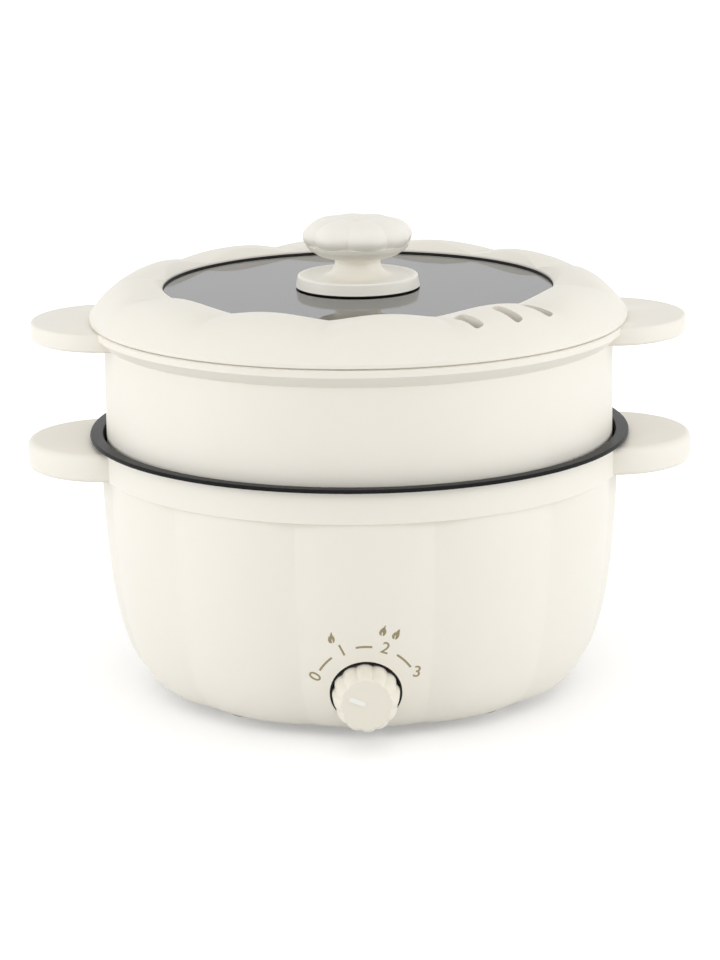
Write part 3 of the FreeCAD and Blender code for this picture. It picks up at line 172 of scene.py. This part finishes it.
def grained(name, colour, second, rough, grain_size, bump_height, drift=0.5, flecks=0.0,
            spread=0.12, shine=0.5, metallic=0.0):
    """A material of one body colour with grain, drift and a small bump. Sizes in metres."""
    material, tree, shader = blank_material(name)
    surface = tree.nodes.new("ShaderNodeGroup")
    surface.node_tree = grained_surface
    for socket, value in (
        ("Colour", (*colour, 1)), ("Second Colour", (*second, 1)), ("Drift", drift),
        ("Flecks", flecks), ("Grain Size", grain_size), ("Drift Size", 35 * mm),
        ("Roughness", rough), ("Roughness Spread", spread),
    ):
        surface.inputs[socket].default_value = value
    bump = tree.nodes.new("ShaderNodeBump")
    bump.inputs["Distance"].default_value = bump_height
    bump.inputs["Strength"].default_value = 1.0
    shader.inputs["Specular IOR Level"].default_value = shine
    shader.inputs["Metallic"].default_value = metallic
    link = tree.links.new
    link(surface.outputs["Colour"], shader.inputs["Base Color"])
    link(surface.outputs["Roughness"], shader.inputs["Roughness"])
    link(surface.outputs["Height"], bump.inputs["Height"])
    link(bump.outputs["Normal"], shader.inputs["Normal"])
    return material


pot_coat = grained(
    "non_stick_coat", coat_grey, coat_fleck, rough=0.3, grain_size=0.5 * mm,
    bump_height=0.02 * mm, drift=0.04, flecks=0.3, shine=coat_shine,
)
finish_nodes(pot_coat, "inner_pot")


# Collar, shell, steamer and lid ring: cream polypropylene, injection moulded in a lightly sparked
# tool. The collar carries the two hand grips and is clamped between the pot's rim and the shell.
cream = (0.86, 0.825, 0.74)
cream_warm = (0.83, 0.785, 0.685)
cream_scatter = 0.08
cream_scatter_depth = (0.004, 0.003, 0.002)
cream_plastic = grained(
    "cream_moulding", cream, cream_warm, rough=0.42, grain_size=0.35 * mm,
    bump_height=0.006 * mm, drift=0.35, spread=0.08,
)
cream_shader = cream_plastic.node_tree.nodes["Principled BSDF"]
cream_shader.inputs["Subsurface Weight"].default_value = cream_scatter
cream_shader.inputs["Subsurface Radius"].default_value = cream_scatter_depth
finish_nodes(cream_plastic, "handle_collar", "outer_shell")


# Dial scale: khaki ink pad printed on the shell above the dial, with plain figures and flame
# signs. It is a skin of ink that follows the flutes, a few hundredths of a millimetre thick.
dial_z = 29.2 * mm
scale_radius = 26 * mm
stroke = 1.1 * mm
ink_proud = 0.05 * mm
ink_facet = 0.9 * mm
ink_khaki = (0.30, 0.245, 0.13)
ink_thin = (0.36, 0.30, 0.18)
arc_steps = 12
in_front_of_shell = -200 * mm

# Arcs as spans in degrees clockwise from the top; figures and flames as angle, radius in
# millimetres and tilt.
arc_spans = ((-61, -40), (-11, 7), (36, 58))
figure_height = 6.4 * mm
font_size_ratio = 1.35
font_swell_ratio = 0.012
figure_marks = (
    ("0", -70, 26.4, -60), ("1", -26, 26.6, -26), ("2", 21, 26.6, 21), ("3", 67, 27.4, 12),
)
flame_marks = ((-29, 35.0, -8), (14, 35.5, 14), (25, 35.5, 22))
flame_outline = (
    (0.0, -3.0), (-1.25, -2.55), (-1.75, -1.3), (-1.5, -0.1), (-0.95, 0.75), (-0.9, 1.1),
    (-0.55, 0.55), (-0.35, 1.4), (0.05, 2.3), (0.75, 3.0), (0.65, 2.1), (0.8, 1.3),
    (1.35, 0.5), (1.7, -0.5), (1.55, -1.7), (0.95, -2.65), (0.45, -2.9), (0.75, -2.0),
    (0.6, -1.2), (0.1, -0.5), (-0.35, -1.2), (-0.45, -2.0),
)


def added(name, data):
    """A new object with this data, in the scene."""
    piece = bpy.data.objects.new(name, data)
    bpy.context.scene.collection.objects.link(piece)
    return piece


def flat_arc(start, end):
    """The outline of one arc of the scale in the dial's plane."""
    angles = [radians(start + (end - start) * k / arc_steps) for k in range(arc_steps + 1)]
    outer, inner = scale_radius + stroke / 2, scale_radius - stroke / 2
    there = [(outer * sin(a), outer * cos(a)) for a in angles]
    back = [(inner * sin(a), inner * cos(a)) for a in reversed(angles)]
    return there + back


def placed(points, angle, radius, tilt):
    """Points set at this angle and radius of the dial and tilted, in degrees clockwise."""
    turn = radians(-tilt)
    at = (radius * sin(radians(angle)), radius * cos(radians(angle)))
    return [
        (at[0] + x * cos(turn) - y * sin(turn), at[1] + x * sin(turn) + y * cos(turn))
        for x, y in points
    ]


def figure_mesh(text):
    """The flat mesh of one figure, centred."""
    curve = bpy.data.curves.new("figure", "FONT")
    curve.body = text
    curve.align_x = "CENTER"
    curve.align_y = "CENTER"
    curve.size = figure_height * font_size_ratio
    curve.offset = figure_height * font_swell_ratio
    holder = added("figure", curve)
    bpy.context.view_layer.update()
    graph = bpy.context.evaluated_depsgraph_get()
    mesh = bpy.data.meshes.new_from_object(holder.evaluated_get(graph))
    bpy.data.objects.remove(holder)
    return mesh


def dial_scale():
    """Arcs, flames and figures as one sheet, cut fine and laid onto the shell."""
    ink = bmesh.new()
    outlines = [flat_arc(start, end) for start, end in arc_spans]
    flame = [(x * mm, y * mm) for x, y in flame_outline]
    outlines += [placed(flame, angle, radius * mm, tilt) for angle, radius, tilt in flame_marks]
    for outline in outlines:
        ink.faces.new([ink.verts.new((x, 0, z)) for x, z in outline])
    for text, angle, radius, tilt in figure_marks:
        mesh = figure_mesh(text)
        flat = [(v.co.x, v.co.y) for v in mesh.vertices]
        spots = [ink.verts.new((x, 0, z)) for x, z in placed(flat, angle, radius * mm, tilt)]
        for polygon in mesh.polygons:
            ink.faces.new([spots[i] for i in polygon.vertices])
    bmesh.ops.triangulate(ink, faces=ink.faces[:])
    for _ in range(3):
        long_edges = [e for e in ink.edges if e.calc_length() > ink_facet]
        bmesh.ops.subdivide_edges(ink, edges=long_edges, cuts=1)
        bmesh.ops.triangulate(ink, faces=ink.faces[:])
    shell = nodes["outer_shell"]
    for spot in ink.verts:
        start = Vector((spot.co.x, in_front_of_shell, dial_z + spot.co.z))
        _, point, normal, _ = shell.ray_cast(start, Vector((0, 1, 0)))
        spot.co = point + normal * ink_proud
    bmesh.ops.recalc_face_normals(ink, faces=ink.faces[:])
    mesh = bpy.data.meshes.new("dial_scale")
    ink.to_mesh(mesh)
    ink.free()
    return added("dial_scale", mesh)


ink_print = grained(
    "khaki_ink", ink_khaki, ink_thin, rough=0.5, grain_size=0.3 * mm, bump_height=0.004 * mm,
)
scale = dial_scale()
scale.data.materials.append(ink_print)
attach(scale, "base")


# Dial cup, rotary switch and dial: a black cup lines the pocket, and the cream dial pushes onto
# the switch's steel spindle. The pointer is a white bar in the dial's face, and the lid's knob
# is moulded in the same plastic as the dial. That one plastic is given as two copies: the dial's
# is darker, a painted shade of its pocket, and the knob's is lighter, a painted light.
black_moulding = grained(
    "black_moulding", colour=(0.012, 0.012, 0.013), second=(0.02, 0.02, 0.02), rough=0.5,
    grain_size=0.3 * mm, bump_height=0.008 * mm, shine=0.12,
)
finish_nodes(black_moulding, "dial_bezel", "power_inlet")
# Darker copy of the cream plastic: painted shade of the dial's pocket.
dial_cream_painted_shade = grained(
    "dial_cream_painted_shade", colour=(0.82, 0.78, 0.675), second=(0.785, 0.74, 0.625), rough=0.34,
    grain_size=0.4 * mm, bump_height=0.004 * mm, drift=0.3, spread=0.06,
)
finish_nodes(dial_cream_painted_shade, "dial_knob")
# Lighter copy of the same cream plastic: painted light on the knob.
knob_cream_painted_light = grained(
    "knob_cream_painted_light", colour=(0.885, 0.855, 0.775), second=(0.855, 0.82, 0.73), rough=0.34,
    grain_size=0.4 * mm, bump_height=0.004 * mm, drift=0.3, spread=0.06,
)
finish_nodes(knob_cream_painted_light, "knob_stem", "knob_cap")
pointer_white = grained(
    "pointer_white", colour=(0.90, 0.89, 0.86), second=(0.86, 0.85, 0.80), rough=0.3,
    grain_size=0.3 * mm, bump_height=0.003 * mm,
)
finish_nodes(pointer_white, "dial_pointer")
phenolic = grained(
    "switch_phenolic", colour=(0.05, 0.042, 0.035), second=(0.09, 0.075, 0.06), rough=0.5,
    grain_size=0.25 * mm, bump_height=0.01 * mm, flecks=0.3,
)
finish_nodes(phenolic, "rotary_switch", "thermostat")


# Bottom cover, feet and screws: a vented cream disc and four pale rubber feet, held against the
# shell's bosses by screws. All the screws and the switch's spindle are zinc plated steel.
finish_nodes(cream_plastic, "bottom_cover")
foot_rubber = grained(
    "foot_rubber", colour=(0.62, 0.59, 0.53), second=(0.55, 0.52, 0.46), rough=0.75,
    grain_size=0.3 * mm, bump_height=0.02 * mm,
)
finish_nodes(foot_rubber, "rubber_feet")
zinc = grained(
    "zinc_plate", colour=(0.62, 0.63, 0.65), second=(0.50, 0.51, 0.54), rough=0.32,
    grain_size=0.4 * mm, bump_height=0.006 * mm, metallic=1.0,
)
finish_nodes(
    zinc, "foot_screws", "tie_bolts", "switch_screws", "inlet_screws", "switch_shaft",
    "retainer_screws", "knob_washer", "knob_screw",
)


# Heating parts: a cast aluminium plate with a steel tube element, a sheet shield, a cut-out and
# a fuse with brass terminals, and the leads in their pale glass-fibre sleeves.
cast_aluminium = grained(
    "cast_aluminium", colour=(0.60, 0.60, 0.61), second=(0.45, 0.45, 0.46), rough=0.55,
    grain_size=1.2 * mm, bump_height=0.08 * mm, metallic=1.0,
)
finish_nodes(cast_aluminium, "heating_plate")
element_steel = grained(
    "element_steel", colour=(0.20, 0.19, 0.18), second=(0.30, 0.25, 0.20), rough=0.45,
    grain_size=0.8 * mm, bump_height=0.02 * mm, metallic=1.0,
)
finish_nodes(element_steel, "heating_element")
galvanised = grained(
    "galvanised_sheet", colour=(0.55, 0.56, 0.57), second=(0.38, 0.39, 0.41), rough=0.42,
    grain_size=6 * mm, bump_height=0.01 * mm, metallic=1.0,
)
finish_nodes(galvanised, "heat_shield", "fuse_clip")
brass = grained(
    "plain_brass", colour=(0.72, 0.55, 0.25), second=(0.55, 0.40, 0.18), rough=0.35,
    grain_size=0.5 * mm, bump_height=0.006 * mm, metallic=1.0,
)
finish_nodes(brass, "switch_terminals", "inlet_pins", "thermal_fuse", "knob_insert")
sleeve = grained(
    "lead_sleeve", colour=(0.60, 0.57, 0.50), second=(0.50, 0.46, 0.38), rough=0.8,
    grain_size=0.6 * mm, bump_height=0.05 * mm, flecks=0.4,
)
finish_nodes(
    sleeve, "lead_live", "lead_element", "lead_cutout", "lead_fuse", "lead_neutral", "lead_earth",
)


# Steamer and lid ring: cream mouldings like the shell. The steamer stands in the pot, and the
# lid stands on the steamer. The real petals are up to 3 mm fuller towards their outer edge than
# the CAD ring's, so a fuller copy takes its place, with the same window, slots, skirt and edge.
crest_radius = 109 * mm
edge_radius = 138.8 * mm
petal_fall = 18.4 * mm
cad_power, full_power = 1.45, 2.3
land_height = 196.5 * mm
blend_height = 5 * mm
finish_nodes(cream_plastic, "steamer_tray", "glass_retainer")
ring_mesh = nodes["lid_ring"].data.copy()
for spot in ring_mesh.vertices:
    out = (hypot(spot.co.x, spot.co.y) - crest_radius) / (edge_radius - crest_radius)
    above = min(max((spot.co.z - land_height) / blend_height, 0), 1)
    if 0 < out < 1:
        spot.co.z += above * petal_fall * (out**cad_power - out**full_power)
petal_ring = added("petal_ring", ring_mesh)
nodes["petal_ring"] = petal_ring
finish_nodes(cream_plastic, "petal_ring")
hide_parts("lid_ring")
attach(petal_ring, "lid")


# Lid glass: smoked tempered glass, held up against a black rubber gasket by the retainer ring
# below it. The same rubber seals the hole in its middle, where the knob is screwed on.
glass_smoke = (0.05, 0.052, 0.055)
glass_rough = 0.02
glass_bend = 1.75
smoked_glass, _, glass_shader = blank_material("smoked_glass")
glass_shader.inputs["Base Color"].default_value = (*glass_smoke, 1)
glass_shader.inputs["Transmission Weight"].default_value = 1.0
glass_shader.inputs["Roughness"].default_value = glass_rough
glass_shader.inputs["IOR"].default_value = glass_bend
finish_nodes(smoked_glass, "lid_glass")
black_rubber = grained(
    "black_rubber", colour=(0.012, 0.012, 0.012), second=(0.02, 0.02, 0.02), rough=0.6,
    grain_size=0.3 * mm, bump_height=0.015 * mm,
)
finish_nodes(black_rubber, "glass_gasket", "knob_seal")


# Floor: a matt white sweep that keeps the soft shadow under the pot. It glows a little so that it
# goes over into the white backdrop. It glows less near the pot than away from it, which is a
# painted shadow that darkens the floor round the pot.
floor_half = 60.0
floor_white = (0.84, 0.84, 0.84)
# The lower glow near the pot is a painted shadow on the floor.
near_radius, painted_shadow_glow = 130 * mm, 0.27
far_radius, far_glow = 300 * mm, 0.50
floor_mesh = bpy.data.meshes.new("floor")
floor_mesh.from_pydata(
    [(-floor_half, -floor_half, 0), (floor_half, -floor_half, 0), (floor_half, floor_half, 0),
     (-floor_half, floor_half, 0)], [], [(0, 1, 2, 3)],
)
floor = added("floor", floor_mesh)
floor_material, floor_tree, floor_shader = blank_material("white_floor")
floor_shader.inputs["Base Color"].default_value = (*floor_white, 1)
floor_shader.inputs["Roughness"].default_value = 1.0
floor_shader.inputs["Specular IOR Level"].default_value = 0.0
floor_shader.inputs["Emission Color"].default_value = (1, 1, 1, 1)
ray = floor_tree.nodes.new("ShaderNodeLightPath")
spot_on_floor = floor_tree.nodes.new("ShaderNodeTexCoord")
reach = floor_tree.nodes.new("ShaderNodeVectorMath")
reach.operation = "LENGTH"
glow_with_painted_shadow = floor_tree.nodes.new("ShaderNodeMapRange")
for socket, value in (
    ("From Min", near_radius), ("From Max", far_radius), ("To Min", painted_shadow_glow),
    ("To Max", far_glow),
):
    glow_with_painted_shadow.inputs[socket].default_value = value
floor_tree.links.new(spot_on_floor.outputs["Object"], reach.inputs[0])
floor_tree.links.new(reach.outputs["Value"], glow_with_painted_shadow.inputs["Value"])
seen = maths(floor_tree, "MAXIMUM", ray.outputs["Is Camera Ray"], ray.outputs["Is Glossy Ray"])
glow = maths(floor_tree, "MULTIPLY", seen, glow_with_painted_shadow.outputs[0])
floor_tree.links.new(glow, floor_shader.inputs["Emission Strength"])
floor_mesh.materials.append(floor_material)


# Backdrop: plain white wherever it is seen, mirrored or looked at through the glass. The light
# that it gives is weaker from the zenith than from the horizon, as in a room of white sheets.
horizon_light = 0.90
zenith_light = 0.57
world = bpy.data.worlds.new("studio")
bpy.context.scene.world = world
world.use_nodes = True
sky_tree = world.node_tree
sky = sky_tree.nodes["Background"]
path = sky_tree.nodes.new("ShaderNodeLightPath")
way = sky_tree.nodes.new("ShaderNodeTexCoord")
parts = sky_tree.nodes.new("ShaderNodeSeparateXYZ")
dome = sky_tree.nodes.new("ShaderNodeMapRange")
dome.inputs["To Min"].default_value = horizon_light
dome.inputs["To Max"].default_value = zenith_light
level = sky_tree.nodes.new("ShaderNodeMix")
level.inputs["B"].default_value = 1.0
direct = maths(sky_tree, "MAXIMUM", path.outputs["Is Camera Ray"], path.outputs["Is Glossy Ray"])
plain = maths(sky_tree, "MAXIMUM", direct, path.outputs["Is Transmission Ray"])
sky_tree.links.new(way.outputs["Generated"], parts.inputs["Vector"])
sky_tree.links.new(parts.outputs["Z"], dome.inputs["Value"])
sky_tree.links.new(plain, level.inputs["Factor"])
sky_tree.links.new(dome.outputs[0], level.inputs["A"])
sky_tree.links.new(level.outputs["Result"], sky.inputs["Strength"])
sky.inputs["Color"].default_value = (1, 1, 1, 1)


# Lamps: soft boxes at both sides and behind, which no mirror shows, and two plain ones in front
# and above. Places and sizes are in metres and the power is in watts.
cool_white = (0.97, 0.99, 1.03)
pot_middle = (0, 0, 0.12)
pot_centre_low = (0, 0, 0.1)
box_height = 0.9


def softbox(name, place, aim, width, height, watts):
    """A rectangular area lamp at a place, turned to a point."""
    light = bpy.data.lights.new(name, "AREA")
    light.shape = "RECTANGLE"
    light.size = width
    light.size_y = height
    light.energy = watts
    lamp = added(name, light)
    lamp.location = place
    lamp.rotation_mode = "QUATERNION"
    lamp.rotation_quaternion = (Vector(aim) - Vector(place)).to_track_quat("-Z", "Y")
    return lamp


for name, place, width, watts in (
    ("left_box", (-1.7, -0.35, 0.45), 1.2, 9.0),
    ("right_box", (1.7, -0.35, 0.45), 1.2, 9.0),
    ("back_box", (0, 1.9, 0.9), 1.4, 3.2),
):
    lamp = softbox(name, place, pot_middle, width, box_height, watts)
    lamp.visible_glossy = False
    lamp.data.color = cool_white
softbox("front_box", (0, -1.7, 1.5), pot_middle, width=1.6, height=box_height, watts=5.8)
softbox("top_box", (0, -0.2, 1.9), pot_centre_low, width=1.4, height=1.4, watts=1.8)


# Camera: 1.70 m away and a little to the left of the pot's front, tipped down and slightly
# rolled. The focal length and the sensor's width are in millimetres.
focal_length = 125.4
sensor_width = 36
stand_off = 1.700
eye_height = 0.5283
side_step = radians(-0.87)
tip_down = radians(13.91)
roll = radians(-0.62)
lens = bpy.data.cameras.new("camera")
lens.lens = focal_length
lens.sensor_width = sensor_width
camera = added("camera", lens)
camera.matrix_world = (
    Matrix.Translation((stand_off * sin(side_step), -stand_off * cos(side_step), eye_height))
    @ Matrix.Rotation(side_step, 4, "Z")
    @ Matrix.Rotation(pi / 2 - tip_down, 4, "X")
    @ Matrix.Rotation(roll, 4, "Z")
)
bpy.context.scene.camera = camera
bpy.context.scene.view_settings.view_transform = "Standard"
